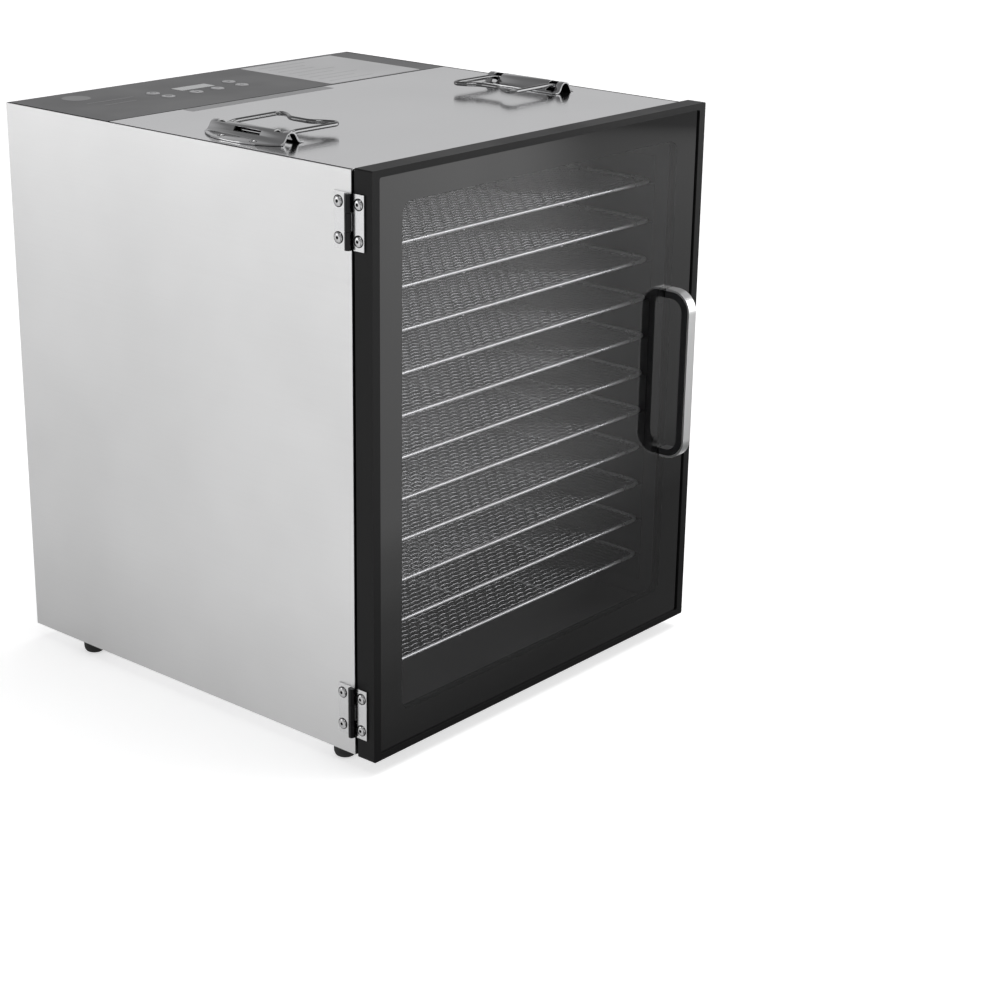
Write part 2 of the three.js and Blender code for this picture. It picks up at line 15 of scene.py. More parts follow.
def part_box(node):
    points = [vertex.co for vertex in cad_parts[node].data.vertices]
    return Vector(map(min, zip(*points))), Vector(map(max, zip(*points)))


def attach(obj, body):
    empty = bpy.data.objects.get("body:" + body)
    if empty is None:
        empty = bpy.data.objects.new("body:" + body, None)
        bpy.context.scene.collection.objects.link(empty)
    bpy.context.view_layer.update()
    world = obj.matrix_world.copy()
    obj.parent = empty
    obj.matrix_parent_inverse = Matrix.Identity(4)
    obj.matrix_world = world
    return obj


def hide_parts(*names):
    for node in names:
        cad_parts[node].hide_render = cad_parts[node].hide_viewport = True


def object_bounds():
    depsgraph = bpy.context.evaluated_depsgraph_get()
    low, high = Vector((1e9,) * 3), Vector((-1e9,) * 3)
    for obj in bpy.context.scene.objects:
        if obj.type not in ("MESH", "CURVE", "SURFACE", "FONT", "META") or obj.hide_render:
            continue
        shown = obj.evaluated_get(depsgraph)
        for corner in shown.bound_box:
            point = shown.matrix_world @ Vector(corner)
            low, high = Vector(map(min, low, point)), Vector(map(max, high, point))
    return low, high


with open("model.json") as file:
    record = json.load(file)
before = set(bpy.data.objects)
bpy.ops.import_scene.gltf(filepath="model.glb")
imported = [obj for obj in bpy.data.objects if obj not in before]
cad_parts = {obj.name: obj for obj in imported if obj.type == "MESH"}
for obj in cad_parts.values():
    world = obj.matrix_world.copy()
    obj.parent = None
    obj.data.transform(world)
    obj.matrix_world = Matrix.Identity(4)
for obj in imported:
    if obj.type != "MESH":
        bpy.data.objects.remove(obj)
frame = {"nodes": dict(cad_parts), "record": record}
CAD_BOX = [list(corner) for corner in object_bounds()]
MM = 0.001
TAU = 2 * math.pi
random.seed(7)

CABINET_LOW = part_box("side_panel_left")[0]
CABINET_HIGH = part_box("side_panel_right")[1]
CORNER = Vector((0, CABINET_LOW.y, CABINET_LOW.z))
WIDTH = (CABINET_HIGH.x - CABINET_LOW.x) / MM
DEPTH = (CABINET_HIGH.y - CABINET_LOW.y) / MM
HEIGHT = (CABINET_HIGH.z - CABINET_LOW.z) / MM
TRAYS = sorted(n for n in frame["nodes"] if n.startswith("tray_") and "rack" not in n)
KEYS = sorted(n for n in frame["nodes"] if n.startswith("key_"))


def at(x, y, z):
    """A place in cabinet millimetres, in the frame's metres."""
    return CORNER + Vector((x, y, z)) * MM


def box_mm(node):
    """A node's lowest and highest corners in cabinet millimetres."""
    low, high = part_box(node)
    return (low - CORNER) / MM, (high - CORNER) / MM


def body_of(node):
    """The moving body, or the cabinet, that a node belongs to."""
    groups = frame["record"]["behaviour"]["bodies"]
    return next(body for body, nodes in groups.items() if node in nodes)


# ---------- camera, lights and stage ----------

# Place in cabinet millimetres, angles in degrees, lens in millimetres on a 36 mm sensor
CAMERA = {
    "place": (-1427.4, -1163.6, 839.3),
    "yaw": 50.19,
    "pitch": 19.94,
    "roll": 0.97,
    "lens": 79.1,
    "sensor": 36,
}


def make_camera():
    data = bpy.data.cameras.new("camera")
    data.lens = CAMERA["lens"]
    data.sensor_width = CAMERA["sensor"]
    data.clip_start, data.clip_end = 0.05, 50
    camera = bpy.data.objects.new("camera", data)
    bpy.context.scene.collection.objects.link(camera)
    yaw, pitch, roll = (math.radians(CAMERA[k]) for k in ("yaw", "pitch", "roll"))
    ahead = Vector((math.sin(yaw) * math.cos(pitch), math.cos(yaw) * math.cos(pitch), -math.sin(pitch)))
    turn = ahead.to_track_quat("-Z", "Y").to_matrix() @ Matrix.Rotation(roll, 3, "Z")
    camera.matrix_world = Matrix.Translation(at(*CAMERA["place"])) @ turn.to_4x4()
    bpy.context.scene.camera = camera


def area_light(name, place, target, size, watts):
    """A rectangular lamp; place, target and size are in metres of the frame."""
    data = bpy.data.lights.new(name, "AREA")
    data.shape = "RECTANGLE"
    data.size, data.size_y = size
    data.energy = watts
    light = bpy.data.objects.new(name, data)
    bpy.context.scene.collection.objects.link(light)
    light.location = place
    light.rotation_mode = "QUATERNION"
    light.rotation_quaternion = (Vector(target) - Vector(place)).to_track_quat("-Z", "Y")


# The sky's grey at steps of height, from the horizon (0) to overhead (1)
SKY = ((0.0, 0.34), (0.25, 0.68), (0.42, 0.52), (0.62, 0.26), (1.0, 0.2))
SKY_BLUE = 1.01  # how much stronger its blue is


def grey_ramp(tree, stops, blue=1.0):
    """A colour ramp through (place, grey) stops."""
    ramp = tree.nodes.new("ShaderNodeValToRGB")
    elements = ramp.color_ramp.elements
    while len(elements) < len(stops):
        elements.new(0.5)
    for element, (place, grey) in zip(elements, stops):
        element.position = place
        element.color = (grey, grey, grey * blue, 1)
    return ramp


def mixed(tree, share, first, second):
    """The first shader where share is 0, the second where it is 1."""
    node = tree.nodes.new("ShaderNodeMixShader")
    tree.links.new(share, node.inputs["Fac"])
    tree.links.new(first, node.inputs[1])
    tree.links.new(second, node.inputs[2])
    return node.outputs[0]


def make_world():
    """White to the camera; to everything else a soft sky, lightest a little above the horizon."""
    world = bpy.data.worlds.new("studio")
    bpy.context.scene.world = world
    world.use_nodes = True
    tree = world.node_tree
    tree.nodes.clear()
    seen = tree.nodes.new("ShaderNodeBackground")
    seen.inputs["Color"].default_value = (1, 1, 1, 1)
    sky = tree.nodes.new("ShaderNodeBackground")
    coords = tree.nodes.new("ShaderNodeTexCoord")
    split = tree.nodes.new("ShaderNodeSeparateXYZ")
    ramp = grey_ramp(tree, SKY, SKY_BLUE)
    tree.links.new(coords.outputs["Generated"], split.inputs[0])
    tree.links.new(split.outputs["Z"], ramp.inputs["Fac"])
    tree.links.new(ramp.outputs["Color"], sky.inputs["Color"])
    path = tree.nodes.new("ShaderNodeLightPath")
    surface = mixed(tree, path.outputs["Is Camera Ray"], sky.outputs[0], seen.outputs[0])
    out = tree.nodes.new("ShaderNodeOutputWorld")
    tree.links.new(surface, out.inputs["Surface"])


def calculated(tree, operation, first, second):
    """A math node on two inputs, each a number or another node's output."""
    node = tree.nodes.new("ShaderNodeMath")
    node.operation = operation
    for socket, value in zip(node.inputs, (first, second)):
        if isinstance(value, (int, float)):
            socket.default_value = value
        else:
            tree.links.new(value, socket)
    return node.outputs[0]


def graded(tree, value, steps):
    """Grey steps along a value; steps holds its low and high ends and the (place, grey) stops between."""
    low, high, stops = steps
    span = tree.nodes.new("ShaderNodeMapRange")
    span.inputs["From Min"].default_value = low
    span.inputs["From Max"].default_value = high
    tree.links.new(value, span.inputs["Value"])
    ramp = grey_ramp(tree, stops)
    ramp.color_ramp.interpolation = "EASE"
    tree.links.new(span.outputs[0], ramp.inputs["Fac"])
    return ramp.outputs["Color"]


def chosen(tree, test, first, second):
    """The first value where the test is 1, the second where it is 0."""
    refused = calculated(tree, "SUBTRACT", 1.0, test)
    return calculated(tree, "ADD", calculated(tree, "MULTIPLY", first, test),
                      calculated(tree, "MULTIPLY", refused, second))


def placed(tree):
    """The x, y and z outputs of object coordinates."""
    place = tree.nodes.new("ShaderNodeTexCoord")
    split = tree.nodes.new("ShaderNodeSeparateXYZ")
    tree.links.new(place.outputs["Object"], split.inputs[0])
    return split.outputs


# Painted shade and glow on the floor, seen in the door and the side panel. Each holds the metres at which
# its steps start and end, and the steps: out from the door, across it, out from the left side, and back
# along it.
FLOOR_AWAY = (0.21, 6.21, (
    (0.0, 0.20), (0.017, 0.30), (0.033, 0.42), (0.05, 0.62), (0.07, 0.92), (0.133, 0.98), (0.167, 0.98),
    (0.4, 0.68), (1.0, 0.4),
))
FLOOR_ACROSS = (-0.45, 0.0, ((0.0, 1.0), (0.3, 0.9), (1.0, 0.4)))
FLOOR_LEFT = (0.2, 1.2, ((0.0, 0.93), (0.3, 0.98), (1.0, 1.1)))
FLOOR_BEHIND = (-0.37, 0.05, ((0.0, 1.1), (0.5, 0.99), (1.0, 0.81)))
FLOOR_RIGHT = 0.95  # everywhere else
FLOOR_DARKEST = 0.2  # in front of the door
FLOOR_SPLIT = -0.2  # the floor in front of the door, or left of the side panel, starts here in y or x
ACROSS_SLANT = 1.2  # x moves this far for each metre in y along a line of equal shade at the front
BEHIND_SLANT = 0.83  # and y this far for each metre in x at the left


def floor_shade(tree):
    """Painted shade and glow on the floor, as the door and the side panel mirror it: dark close by, lighter
    further out.
    """
    x, y, _ = placed(tree)
    away = graded(tree, calculated(tree, "MULTIPLY", y, -1.0), FLOOR_AWAY)
    along = calculated(tree, "ADD", x, calculated(tree, "MULTIPLY", y, ACROSS_SLANT))
    across = graded(tree, along, FLOOR_ACROSS)
    front = calculated(tree, "MAXIMUM", calculated(tree, "MULTIPLY", away, across), FLOOR_DARKEST)
    out_left = graded(tree, calculated(tree, "MULTIPLY", x, -1.0), FLOOR_LEFT)
    behind = calculated(tree, "ADD", y, calculated(tree, "MULTIPLY", x, BEHIND_SLANT))
    left = calculated(tree, "MULTIPLY", out_left, graded(tree, behind, FLOOR_BEHIND))
    sides = chosen(tree, calculated(tree, "LESS_THAN", x, FLOOR_SPLIT), left, FLOOR_RIGHT)
    return chosen(tree, calculated(tree, "LESS_THAN", y, FLOOR_SPLIT), front, sides)


FLOOR_HALF = 30.0  # half its width in metres
FLOOR_BELOW = 0.0005  # how far under the feet it lies, in metres
FLOOR_GLOW = 0.32  # its own light where it is lightest
FLOOR_GLOW_SEEN = 0.25  # the further glow that only the camera sees


def make_floor():
    """A white floor to the camera, which every mirror image sees with painted shade and glow."""
    mesh = bpy.data.meshes.new("floor")
    half = FLOOR_HALF
    z = CAD_BOX[0][2] - FLOOR_BELOW
    corners = [(-half, -half, z), (half, -half, z), (half, half, z), (-half, half, z)]
    mesh.from_pydata(corners, [], [(0, 1, 2, 3)])
    floor = link("floor", mesh)
    paint, tree, shader = new_material("floor_paint")
    mirrored = floor_shade(tree)
    seen = tree.nodes.new("ShaderNodeLightPath").outputs["Is Camera Ray"]
    share = chosen(tree, seen, 1.0, mirrored)
    tree.links.new(blended(tree, share, (0, 0, 0), (0.8, 0.8, 0.8)), shader.inputs["Base Color"])
    shader.inputs["Roughness"].default_value = 0.9
    shader.inputs["Specular IOR Level"].default_value = 0.1
    shader.inputs["Emission Color"].default_value = (1, 1, 1, 1)
    everywhere = calculated(tree, "MULTIPLY", share, FLOOR_GLOW)
    to_camera = calculated(tree, "MULTIPLY", seen, FLOOR_GLOW_SEEN)
    tree.links.new(calculated(tree, "ADD", everywhere, to_camera), shader.inputs["Emission Strength"])
    mesh.materials.append(paint)


def soft_sun(place, strength, angle):
    """A sun that shines from place toward the origin, as wide as angle in degrees."""
    data = bpy.data.lights.new("soft_sun", "SUN")
    data.energy = strength
    data.angle = math.radians(angle)
    sun = bpy.data.objects.new("soft_sun", data)
    bpy.context.scene.collection.objects.link(sun)
    sun.rotation_mode = "QUATERNION"
    sun.rotation_quaternion = (-Vector(place)).to_track_quat("-Z", "Y")


# Name, place, target, size and watts
LAMPS = (
    ("front_softbox", (2.1, -1.9, 0.95), (0, 0, 0.3), (2.4, 1.7), 32),
    ("top_kicker", (-0.9, -0.5, 2.2), (0, 0, 0.5), (0.5, 0.5), 4),
    ("left_softbox", (-2.0, 1.8, 0.75), (-0.2, 0, 0.3), (1.2, 1.1), 6.5),
)


def make_stage():
    bpy.context.scene.view_settings.view_transform = "Standard"
    make_world()
    make_floor()
    soft_sun(place=(0.5, -0.2, 1.6), strength=1.15, angle=40)
    for lamp in LAMPS:
        area_light(*lamp)


# ---------- materials ----------

def new_material(name):
    made = bpy.data.materials.new(name)
    made.use_nodes = True
    tree = made.node_tree
    return made, tree, tree.nodes["Principled BSDF"]


def object_noise(tree, stretch, scale, detail):
    """A noise factor on object coordinates, stretched along some axes."""
    coords = tree.nodes.new("ShaderNodeTexCoord")
    mapping = tree.nodes.new("ShaderNodeMapping")
    mapping.inputs["Scale"].default_value = stretch
    noise = tree.nodes.new("ShaderNodeTexNoise")
    noise.inputs["Scale"].default_value = scale
    noise.inputs["Detail"].default_value = detail
    tree.links.new(coords.outputs["Object"], mapping.inputs["Vector"])
    tree.links.new(mapping.outputs[0], noise.inputs["Vector"])
    return noise.outputs["Fac"]


def ranged(tree, noise, low, high):
    """A noise factor, which stays mostly between 0.3 and 0.7, spread from low to high."""
    node = tree.nodes.new("ShaderNodeMapRange")
    node.inputs["From Min"].default_value = 0.3
    node.inputs["From Max"].default_value = 0.7
    node.inputs["To Min"].default_value = low
    node.inputs["To Max"].default_value = high
    tree.links.new(noise, node.inputs["Value"])
    return node.outputs[0]


def blended(tree, factor, first, second):
    """The first colour where the factor is 0, the second where it is 1; each a colour or an output."""
    node = tree.nodes.new("ShaderNodeMix")
    node.data_type = "RGBA"
    for socket, colour in zip((node.inputs[6], node.inputs[7]), (first, second)):
        if isinstance(colour, tuple):
            socket.default_value = (*colour, 1)
        else:
            tree.links.new(colour, socket)
    tree.links.new(factor, node.inputs[0])
    return node.outputs[2]


def bumped(tree, shader, height, strength, distance):
    """Makes a noise factor into relief; distance is in metres."""
    node = tree.nodes.new("ShaderNodeBump")
    node.inputs["Strength"].default_value = strength
    node.inputs["Distance"].default_value = distance
    tree.links.new(height, node.inputs["Height"])
    tree.links.new(node.outputs[0], shader.inputs["Normal"])


def shade(colour, factor):
    """The colour made lighter or darker."""
    return tuple(min(1.0, c * factor) for c in colour)


def brushed(name, colour, rough, grain, bump=0.06, spread=0.05):
    """Metal brushed along the axis whose grain number is small."""
    made, tree, shader = new_material(name)
    lines = object_noise(tree, grain, 1.0, 2.0)
    cloud = object_noise(tree, (1, 1, 1), 9.0, 2.0)
    colours = blended(tree, ranged(tree, cloud, 0, 1), shade(colour, 0.97), shade(colour, 1.02))
    tree.links.new(colours, shader.inputs["Base Color"])
    tree.links.new(ranged(tree, lines, rough - spread, rough + spread), shader.inputs["Roughness"])
    shader.inputs["Metallic"].default_value = 1.0
    bumped(tree, shader, lines, bump, 0.0002)
    return made


def polished(name, colour, rough, metallic=1.0):
    """Bright metal with faint smears."""
    made, tree, shader = new_material(name)
    smear = object_noise(tree, (1, 1, 1), 60.0, 3.0)
    tree.links.new(ranged(tree, smear, rough * 0.7, rough * 1.4), shader.inputs["Roughness"])
    shader.inputs["Base Color"].default_value = (*colour, 1)
    shader.inputs["Metallic"].default_value = metallic
    return made


def painted(name, colour, rough, grain=700, bump=0.03, coat=0.0, gloss=0.5):
    """Powder coat, moulded plastic or rubber: a fine grain over a faintly uneven colour."""
    made, tree, shader = new_material(name)
    fine = object_noise(tree, (1, 1, 1), grain, 2.0)
    cloud = object_noise(tree, (1, 1, 1), 14.0, 2.0)
    colours = blended(tree, ranged(tree, cloud, 0, 1), shade(colour, 0.92), shade(colour, 1.08))
    tree.links.new(colours, shader.inputs["Base Color"])
    tree.links.new(ranged(tree, cloud, rough - 0.04, rough + 0.04), shader.inputs["Roughness"])
    shader.inputs["Coat Weight"].default_value = coat
    shader.inputs["Coat Roughness"].default_value = 0.08
    shader.inputs["Specular IOR Level"].default_value = gloss
    if bump:
        bumped(tree, shader, fine, bump, 0.0003)
    return made


WINDOW_LOW, WINDOW_HIGH = (-181, 0, 34), (185, 0, 472)  # corners of the door's clear window
WINDOW_CORNER = 11


def window_mask(tree):
    """1 inside the door's clear window, a rectangle with round corners, and 0 on the border round it."""
    place = placed(tree)
    radius = WINDOW_CORNER * MM
    squares = []
    for axis in (0, 2):
        low, high = at(*WINDOW_LOW)[axis], at(*WINDOW_HIGH)[axis]
        middle, half = (low + high) / 2, (high - low) / 2
        off = calculated(tree, "ABSOLUTE", calculated(tree, "SUBTRACT", place[axis], middle), 0.0)
        past = calculated(tree, "MAXIMUM", calculated(tree, "SUBTRACT", off, half - radius), 0.0)
        squares.append(calculated(tree, "MULTIPLY", past, past))
    distance = calculated(tree, "POWER", calculated(tree, "ADD", *squares), 0.5)
    return calculated(tree, "LESS_THAN", distance, radius)


INK = (0.003, 0.003, 0.0031)
GLASS_IOR = 1.62  # a little more than plain glass, as coated glass mirrors more


def smoked(name, tint, rough, printed=False):
    """Tinted glass that lets lamps through, under a clear gloss on its outer faces.

    Printed glass is backed with black ink outside the window.
    """
    made, tree, shader = new_material(name)
    tree.nodes.remove(shader)
    see_through = tree.nodes.new("ShaderNodeBsdfTransparent")
    see_through.inputs["Color"].default_value = (*tint, 1)
    body = see_through.outputs[0]
    if printed:
        ink = tree.nodes.new("ShaderNodeBsdfDiffuse")
        ink.inputs["Color"].default_value = (*INK, 1)
        body = mixed(tree, window_mask(tree), ink.outputs[0], body)
    gloss = tree.nodes.new("ShaderNodeBsdfGlossy")
    gloss.inputs["Color"].default_value = (1, 1, 1, 1)
    gloss.inputs["Roughness"].default_value = rough
    fresnel = tree.nodes.new("ShaderNodeFresnel")
    fresnel.inputs["IOR"].default_value = GLASS_IOR
    facing = tree.nodes.new("ShaderNodeNewGeometry")
    outward = calculated(tree, "SUBTRACT", 1.0, facing.outputs["Backfacing"])
    share = calculated(tree, "MULTIPLY", fresnel.outputs[0], outward)
    surface = mixed(tree, share, body, gloss.outputs[0])
    tree.links.new(surface, tree.nodes["Material Output"].inputs["Surface"])
    return made


BARREL_EDGE = 1.65  # the barrels stand further out from the side panel than this, the leaves do not
BARREL_COLOUR = (0.025, 0.025, 0.026)


def darken_barrel(made):
    """Darkens the base colour of a hinge leaf's rolled barrel, which stands outside the leaf's flat, to
    near black.
    """
    tree = made.node_tree
    colour = tree.nodes["Principled BSDF"].inputs["Base Color"]
    outside = calculated(tree, "LESS_THAN", placed(tree)[0], (-WIDTH / 2 - BARREL_EDGE) * MM)
    steel = colour.links[0].from_socket
    tree.links.new(blended(tree, outside, steel, BARREL_COLOUR), colour)


# A grain for brushed(), drawn out along one axis
ALONG_X, ALONG_Y, ALONG_Z = (4, 900, 900), (900, 4, 900), (900, 900, 4)


def make_materials():
    m = {}
    m["side_steel"] = brushed("side_steel", (0.68, 0.68, 0.68), 0.34, ALONG_Y)
    m["top_steel"] = brushed("top_steel", (0.75, 0.75, 0.755), 0.14, ALONG_X, 0.015, 0.02)
    m["rear_steel"] = brushed("rear_steel", (0.68, 0.68, 0.69), 0.36, ALONG_X)
    m["fitting_steel"] = brushed("fitting_steel", (0.70, 0.70, 0.705), 0.26, ALONG_Z, 0.03)
    m["press_steel"] = brushed("press_steel", (0.52, 0.52, 0.525), 0.13, ALONG_Y, 0.01, 0.03)
    # darker than the pressed steel as painted shade, to dim the glint on the covers' cut ends
    m["cut_steel"] = brushed("cut_steel", (0.25, 0.25, 0.252), 0.35, ALONG_X)
    m["trim_steel"] = brushed("trim_steel", (0.66, 0.66, 0.66), 0.34, ALONG_Z, 0.12)
    m["rivet_steel"] = polished("rivet_steel", (0.50, 0.50, 0.505), 0.12)
    m["hinge_leaf"] = brushed("hinge_leaf", (0.65, 0.65, 0.655), 0.2, ALONG_Z, 0.02, 0.03)
    darken_barrel(m["hinge_leaf"])
    m["bright_wire"] = polished("bright_wire", (0.2, 0.2, 0.202), 0.1)
    m["tray_rod"] = polished("tray_rod", (0.97, 0.97, 0.975), 0.3, metallic=0.75)
    m["tray_wire"] = polished("tray_wire", (0.78, 0.78, 0.785), 0.17)
    m["rack_steel"] = painted("rack_steel", (0.07, 0.07, 0.071), 0.5, bump=0, gloss=0.3)
    m["heater_sheath"] = brushed("heater_sheath", (0.35, 0.32, 0.30), 0.4, (300, 300, 300))
    m["fan_aluminium"] = brushed("fan_aluminium", (0.7, 0.7, 0.71), 0.35, (200, 200, 200))
    m["black_frame"] = painted("black_frame", (0.006, 0.006, 0.0062), 0.42, bump=0, gloss=0.16)
    m["inner_frame"] = painted("inner_frame", (0.003, 0.003, 0.0031), 0.5, bump=0, gloss=0.03)
    m["liner"] = painted("liner", (0.08, 0.08, 0.081), 0.5, bump=0, gloss=0.3)
    m["motor"] = painted("motor", (0.05, 0.05, 0.052), 0.5)
    m["black_plastic"] = painted("black_plastic", (0.010, 0.010, 0.011), 0.35)
    m["rubber"] = painted("rubber", (0.014, 0.014, 0.014), 0.75, 900, 0.08)
    m["seal"] = painted("seal", (0.02, 0.02, 0.02), 0.7)
    m["panel_plastic"] = painted("panel_plastic", (0.058, 0.058, 0.0595), 0.38)
    m["key_plastic"] = painted("key_plastic", (0.36, 0.36, 0.365), 0.35)
    m["key_print"] = painted("key_print", (0.05, 0.05, 0.052), 0.45)
    m["display"] = painted("display", (0.34, 0.345, 0.345), 0.2, coat=0.6)
    m["label"] = painted("label", (0.50, 0.50, 0.505), 0.4)
    m["label_print"] = painted("label_print", (0.43, 0.43, 0.435), 0.45)
    m["panel_print"] = painted("panel_print", (0.19, 0.19, 0.192), 0.42)
    m["strip_film"] = painted("strip_film", (0.24, 0.24, 0.245), 0.35)
    m["circuit_board"] = painted("circuit_board", (0.012, 0.09, 0.04), 0.4)
    m["hinge_pin"] = brushed("hinge_pin", (0.06, 0.06, 0.062), 0.35, ALONG_Z)
    # black with no gloss: painted shade in rivet holes and round their seats, inside the bail covers and
    # along the seams
    m["painted_shade"] = painted("painted_shade", (0.006, 0.006, 0.006), 0.8, bump=0, gloss=0.0)
    m["brass"] = polished("brass", (0.75, 0.62, 0.35), 0.25)
    m["smoked_glass"] = smoked("smoked_glass", (0.82, 0.82, 0.825), 0.02, printed=True)
    m["display_glass"] = smoked("display_glass", (0.85, 0.85, 0.86), 0.05)
    return m


M = make_materials()

# The slot of a material is its own name, but for these
SHARED_SLOTS = {
    "cabinet_steel": ("side_steel", "top_steel", "rear_steel"),
    "hinge_steel": ("fitting_steel", "hinge_leaf", "rivet_steel", "brass"),
    "bracket_steel": ("press_steel", "cut_steel"),
    "handle_steel": ("trim_steel",),
    "tray_wire": ("tray_rod",),
    "black_frame": ("inner_frame",),
    "black_plastic": ("painted_shade",),
    "panel_plastic": ("label", "label_print", "panel_print", "strip_film"),
    "key_plastic": ("key_print",),
    "display_glass": ("display",),
}
SLOT_OF = {name: name for name in M}
SLOT_OF.update({name: slot for slot, names in SHARED_SLOTS.items() for name in names})


# ---------- mesh helpers ----------

# Edges sharper than this many degrees stay crisp, or are bevelled: on solids, on wires and thin
# plates, and on the woven mesh, whose square wires are shaded as round ones
SOLID_EDGE, WIRE_EDGE, WEAVE_EDGE = 40, 50, 95
WELD_REACH = 0.00001  # metres


def link(name, mesh):
    """A new object in the scene."""
    made = bpy.data.objects.new(name, mesh)
    bpy.context.scene.collection.objects.link(made)
    return made


def smooth(mesh, angle):
    """Smooth shading, with edges sharper than angle in degrees kept crisp."""
    mesh.polygons.foreach_set("use_smooth", [True] * len(mesh.polygons))
    mesh.set_sharp_from_angle(angle=math.radians(angle))


def as_piece(made, material, body, *nodes):
    """Gives an object its material and the body that it rides on."""
    made.data.materials.clear()
    made.data.materials.append(M[material])
    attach(made, body)
    if nodes:
        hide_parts(*nodes)


def baked(made):
    """The object with its modifiers or curve turned into a plain mesh."""
    name = made.name
    graph = bpy.context.evaluated_depsgraph_get()
    mesh = bpy.data.meshes.new_from_object(made.evaluated_get(graph))
    mesh.name = name
    bpy.data.objects.remove(made)
    return link(name, mesh)


def merged(name, parts, angle):
    """One object from several; the parts are removed."""
    joined = bmesh.new()
    for part in parts:
        part.data.transform(part.matrix_world)
        joined.from_mesh(part.data)
        bpy.data.objects.remove(part)
    mesh = bpy.data.meshes.new(name)
    joined.to_mesh(mesh)
    joined.free()
    smooth(mesh, angle)
    return link(name, mesh)


PLANES = {
    "y": Matrix(((1, 0, 0), (0, 0, -1), (0, 1, 0))),  # drawn in x, z; thick along -y
    "z": Matrix.Identity(3),  # drawn in x, y; thick along z
}


def prism(name, loop, plane, low, high):
    """A closed solid from one outline, between low and high along its plane's axis."""
    turn = PLANES[plane]
    offsets = (-low, -high) if plane == "y" else (low, high)
    verts = [at(*(turn @ Vector((u, v, h)))) for h in offsets for u, v in loop]
    count = len(loop)
    faces = [(i, (i + 1) % count, count + (i + 1) % count, count + i) for i in range(count)]
    faces += [tuple(reversed(range(count))), tuple(range(count, 2 * count))]
    mesh = bpy.data.meshes.new(name)
    mesh.from_pydata(verts, [], faces)
    shell = bmesh.new()
    shell.from_mesh(mesh)
    bmesh.ops.recalc_face_normals(shell, faces=shell.faces)
    shell.to_mesh(mesh)
    shell.free()
    return link(name, mesh)


def block(name, x0, x1, y0, y1, z0, z1):
    """A box from its extents."""
    return prism(name, [(x0, y0), (x1, y0), (x1, y1), (x0, y1)], "z", z0, z1)


def carved(base, tools, edge=0.0, operation="DIFFERENCE"):
    """The base with each tool cut out of it (or kept in common), and its edges softened."""
    for i, tool in enumerate(tools):
        cut = base.modifiers.new(f"cut{i}", "BOOLEAN")
        cut.operation = operation
        cut.object = tool
        cut.solver = "EXACT"
    made = baked(base)
    for tool in tools:
        bpy.data.objects.remove(tool)
    if edge:
        bevel = made.modifiers.new("edges", "BEVEL")
        bevel.width = edge * MM
        bevel.segments = 2
        bevel.limit_method = "ANGLE"
        bevel.angle_limit = math.radians(SOLID_EDGE)
        made = baked(made)
    smooth(made.data, SOLID_EDGE)
    return made


def stamped(name, mesh, centre, normal, material, body, spin=0.0):
    """A copy of a small shared mesh, drawn about zero along Z, set down facing normal."""
    made = link(name, mesh)
    turn = Vector(normal).to_track_quat("Z", "Y").to_matrix() @ Matrix.Rotation(spin, 3, "Z")
    made.matrix_world = Matrix.Translation(at(*centre)) @ turn.to_4x4()
    bpy.context.view_layer.update()
    as_piece(made, material, body)


def about_zero(made):
    """An object's mesh, shifted from cabinet coordinates to lie about zero; the object is removed."""
    mesh = made.data
    mesh.transform(Matrix.Translation(-CORNER))
    bpy.data.objects.remove(made)
    return mesh


def tube(name, points, radius, closed=False, roundness=3):
    """A round wire through points in cabinet millimetres."""
    curve = bpy.data.curves.new(name, "CURVE")
    curve.dimensions = "3D"
    spline = curve.splines.new("POLY")
    spline.points.add(len(points) - 1)
    for point, place in zip(spline.points, points):
        point.co = (*at(*place), 1)
    spline.use_cyclic_u = closed
    curve.bevel_depth = radius * MM
    curve.bevel_resolution = roundness
    curve.use_fill_caps = not closed
    made = baked(link(name, curve))
    smooth(made.data, WIRE_EDGE)
    return made


def rounded(points, r, steps, closed=False):
    """Points with each corner turned into a short arc."""
    points = [Vector(p) for p in points]
    count = len(points)
    made = []
    for i, corner in enumerate(points):
        if not closed and i in (0, count - 1):
            made.append(corner)
            continue
        before, after = points[i - 1] - corner, points[(i + 1) % count] - corner
        reach = min(r, before.length / 2, after.length / 2)
        a = corner + before.normalized() * reach
        b = corner + after.normalized() * reach
        for k in range(steps + 1):
            t = k / steps
            made.append(a * (1 - t) ** 2 + corner * 2 * t * (1 - t) + b * t * t)
    return made


def outline(x0, x1, y0, y1, r, steps=8):
    """A rectangle with round corners as 2D points, anticlockwise."""
    centres = [(x1 - r, y0 + r, -90), (x1 - r, y1 - r, 0), (x0 + r, y1 - r, 90), (x0 + r, y0 + r, 180)]
    made = []
    for cx, cy, start in centres:
        for k in range(steps + 1):
            a = math.radians(start + 90 * k / steps)
            made.append((cx + r * math.cos(a), cy + r * math.sin(a)))
    return made


def circle(cx, cy, r, steps):
    """A circle as 2D points, anticlockwise."""
    return [(cx + r * math.cos(TAU * k / steps), cy + r * math.sin(TAU * k / steps)) for k in range(steps)]


